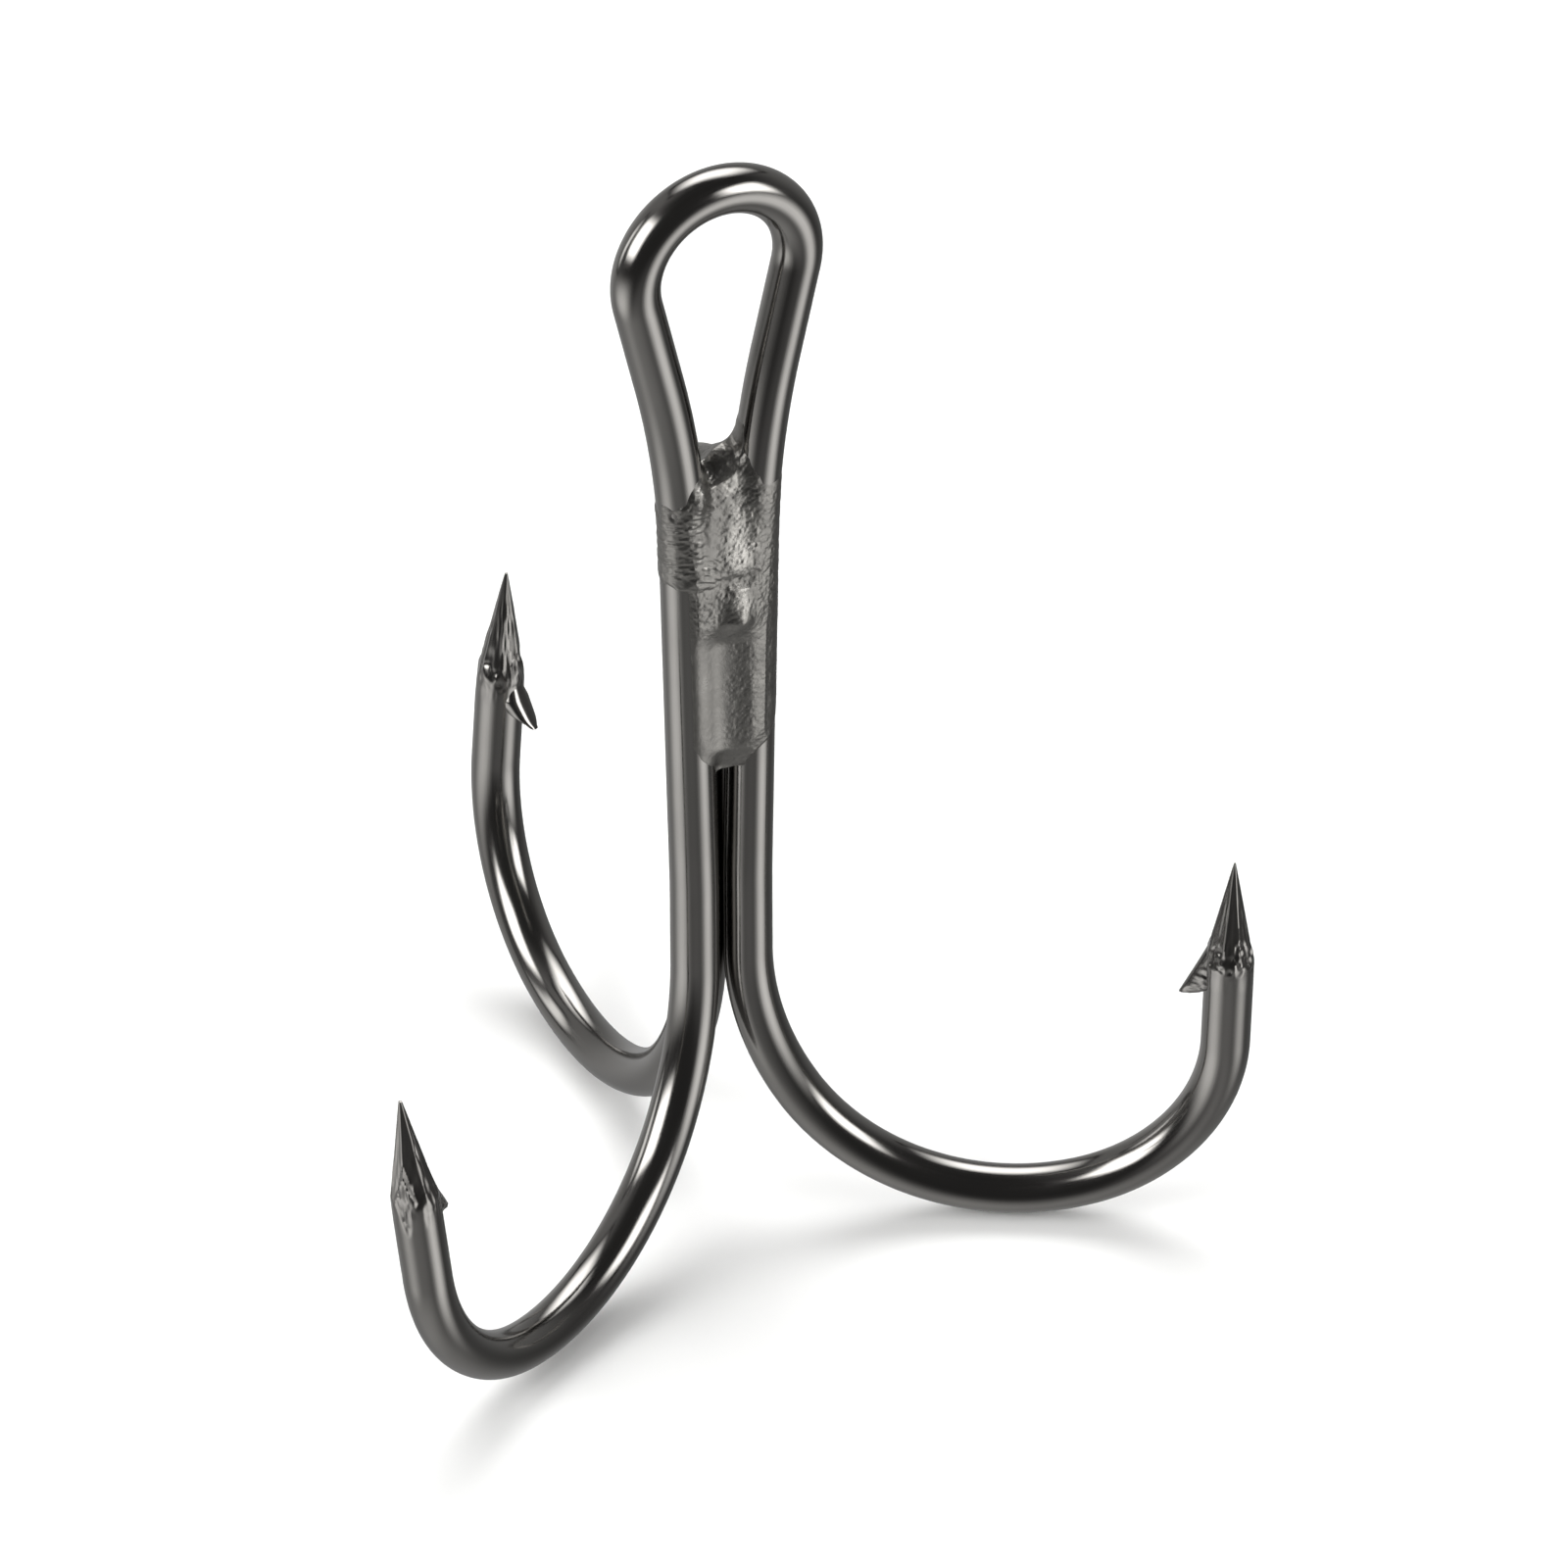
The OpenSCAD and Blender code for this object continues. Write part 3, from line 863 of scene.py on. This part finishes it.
class HOOK_OT_filler(bpy.types.Operator):
    """Run the brazing filler into the valleys and over the throat of the eye"""

    bl_idname = "treble_hook.filler"
    bl_label = "Brazing filler"

    def execute(self, context):
        w, _, f, finish, _ = sizes()
        filler = Filler(w, f)
        low, high = (-2.6, -1.4, filler.foot - 1.3), (2.6, 2.6, -3.6)
        verts, faces = surface_of(filler.field, low, high, f.cell / MM)
        for _ in range(2):
            slope = slope_of(filler.field, verts)
            size = np.maximum((slope ** 2).sum(1), 0.2)
            verts = verts - np.clip((filler.field(verts) / size)[:, None] * slope, -0.03, 0.03)
        slope = slope_of(filler.field, verts, 0.03)
        normal = slope / np.maximum(np.linalg.norm(slope, axis=1)[:, None], 1e-6)
        verts = verts + normal * filler.grainy(verts)[:, None]
        piece = make_object("brazing_filler", verts * MM, faces)
        finish_piece(piece, plated_brazing_filler(list(finish.filler)), "filler", "braze_front_bead",
                     "braze_left_bead", "braze_right_bead", "braze_saddle")
        return {"FINISHED"}


class HOOK_OT_stage(bpy.types.Operator):
    """Set the floor, the lights and the camera"""

    bl_idname = "treble_hook.stage"
    bl_label = "Stage"

    # name, azimuth and elevation seen from the hook, angular width and height in degrees,
    # brightness, and how much of it is soft rim
    SOFTBOXES = (
        ("softbox_left", -88.0, 25.0, 54.0, 48.0, 7.0, 0.28),
        ("softbox_far_left", -130.0, 10.0, 20.0, 50.0, 3.0, 0.4),
        ("softbox_right", 38.0, 18.0, 44.0, 42.0, 7.0, 0.36),
        ("softbox_back", 148.0, 55.0, 72.0, 56.0, 5.6, 0.4),
    )
    # Soft glows of the room and of the table far from the hook: azimuth, elevation, spread across
    # and up in degrees, and brightness.
    GLOWS = (
        (-90.0, -32.0, 24.0, 13.0, 1.7),
        (36.0, -25.0, 18.0, 18.0, 2.3),
        (-75.0, -60.0, 45.0, 18.0, 0.35),
        (0.0, -90.0, 42.0, 42.0, 0.45),
        (-168.0, -12.0, 40.0, 26.0, 0.55),
        (-150.0, 42.0, 36.0, 28.0, 0.35),
        (120.0, 10.0, 40.0, 30.0, 0.3),
    )
    ROOM = 0.06
    TOP_POWER = 7.0
    LIGHT_AWAY = 1.1

    def execute(self, context):
        *_, finish, stage = sizes()
        low = CAD_BOX[0][2]
        half = stage.floor_size / 2
        floor = make_object("floor", [(-half, -half, low), (half, -half, low), (half, half, low),
                                      (-half, half, low)], [(0, 1, 2, 3)])
        floor.data.materials.append(matt_floor(list(finish.floor)))
        # The metal mirrors the room and not the floor, so that it reads dark on a pale ground.
        floor.visible_glossy = False
        self.top_light()
        target = Vector(stage.aim)
        for name, azimuth, elevation, width, height, strength, softness in self.SOFTBOXES:
            a, e = math.radians(azimuth), math.radians(elevation)
            out = Vector((math.sin(a) * math.cos(e), -math.cos(a) * math.cos(e), math.sin(e)))
            w = 2 * self.LIGHT_AWAY * math.tan(math.radians(width) / 2)
            h = 2 * self.LIGHT_AWAY * math.tan(math.radians(height) / 2)
            corners = [(-w / 2, -h / 2, 0), (w / 2, -h / 2, 0), (w / 2, h / 2, 0), (-w / 2, h / 2, 0)]
            box = make_object(name, corners, [(0, 1, 2, 3)])
            box.location = target + out * self.LIGHT_AWAY
            box.rotation_euler = out.to_track_quat("Z", "Y").to_euler()
            box.data.materials.append(softbox_cloth(name + "_cloth", strength, softness))
            box.visible_camera = False
        self.room()
        camera = bpy.data.objects.new("camera", bpy.data.cameras.new("camera"))
        context.scene.collection.objects.link(camera)
        a, e = stage.azimuth, stage.elevation
        out = Vector((math.sin(a) * math.cos(e), -math.cos(a) * math.cos(e), math.sin(e)))
        camera.location = target + out * stage.distance
        facing = out.to_track_quat("Z", "Y")
        camera.rotation_euler = facing.to_euler()
        camera.rotation_euler.rotate_axis("Z", stage.roll)
        camera.data.lens = stage.lens
        camera.data.sensor_width = 36.0
        camera.data.clip_start = 0.05
        context.scene.camera = camera
        context.scene.view_settings.view_transform = "Standard"
        return {"FINISHED"}

    def top_light(self):
        """A wide soft light overhead, for the floor only: the metal doesn't mirror it."""
        light = bpy.data.objects.new("top_light", bpy.data.lights.new("top_light", "AREA"))
        light.data.size = 1.6
        light.data.energy = self.TOP_POWER
        light.location = (0.0, 0.0, 1.4)
        light.visible_glossy = False
        bpy.context.scene.collection.objects.link(light)

    def room(self):
        """A dim room with a few soft glows."""
        world = bpy.data.worlds.new("studio_room")
        bpy.context.scene.world = world
        world.use_nodes = True
        tree = world.node_tree
        tree.nodes.clear()
        way = node(tree, "ShaderNodeTexCoord").outputs["Generated"]
        level = self.ROOM
        for azimuth, elevation, across, up, strength in self.GLOWS:
            a, e = math.radians(azimuth), math.radians(elevation)
            spread = (math.sin(math.radians(across)), 0.8, math.sin(math.radians(up)))
            place = node(tree, "ShaderNodeMapping", {
                "Vector": way, "Rotation": (-e, 0.0, a), "Scale": spread,
                "Location": (math.sin(a) * math.cos(e), -math.cos(a) * math.cos(e), math.sin(e))},
                vector_type="TEXTURE")
            away = node(tree, "ShaderNodeVectorMath", {0: place.outputs[0]}, operation="LENGTH")
            glow = node(tree, "ShaderNodeMapRange", {"Value": away.outputs["Value"], "From Min": 0.0,
                                                     "From Max": 2.0, "To Min": strength, "To Max": 0.0},
                        interpolation_type="SMOOTHERSTEP")
            level = node(tree, "ShaderNodeMath", {0: glow.outputs[0], 1: level}, operation="ADD").outputs[0]
        light = node(tree, "ShaderNodeBackground", {"Color": (1.0, 1.0, 1.0, 1.0), "Strength": level})
        node(tree, "ShaderNodeOutputWorld", {"Surface": light.outputs[0]})


class HOOK_PT_panel(bpy.types.Panel):
    """Buttons and sizes of the treble hook"""

    bl_label = "Treble Hook"
    bl_idname = "HOOK_PT_panel"
    bl_space_type = "VIEW_3D"
    bl_region_type = "UI"
    bl_category = "Treble Hook"

    def draw(self, context):
        layout = self.layout
        for operator in OPERATORS:
            layout.operator(operator.bl_idname)
        for title, group in zip(("Wire", "Point", "Filler", "Finish", "Stage"), sizes()):
            box = layout.box()
            box.label(text=title)
            for name in group.bl_rna.properties.keys():
                if name not in ("rna_type", "name"):
                    box.prop(group, name)


GROUPS = {"hook_wire": WireSizes, "hook_point": PointSizes, "hook_filler": FillerSizes,
          "hook_finish": FinishColours, "hook_stage": StageSizes}
OPERATORS = (HOOK_OT_double, HOOK_OT_single, HOOK_OT_filler, HOOK_OT_stage)
CLASSES = tuple(GROUPS.values()) + OPERATORS + (HOOK_PT_panel,)


def register():
    for cls in CLASSES:
        bpy.utils.register_class(cls)
    for name, group in GROUPS.items():
        setattr(bpy.types.Scene, name, PointerProperty(type=group))


def unregister():
    for name in GROUPS:
        delattr(bpy.types.Scene, name)
    for cls in reversed(CLASSES):
        bpy.utils.unregister_class(cls)


def main():
    register()
    bpy.ops.treble_hook.double_wire()
    bpy.ops.treble_hook.single_wire()
    bpy.ops.treble_hook.filler()
    bpy.ops.treble_hook.stage()


if __name__ == "__main__":
    main()
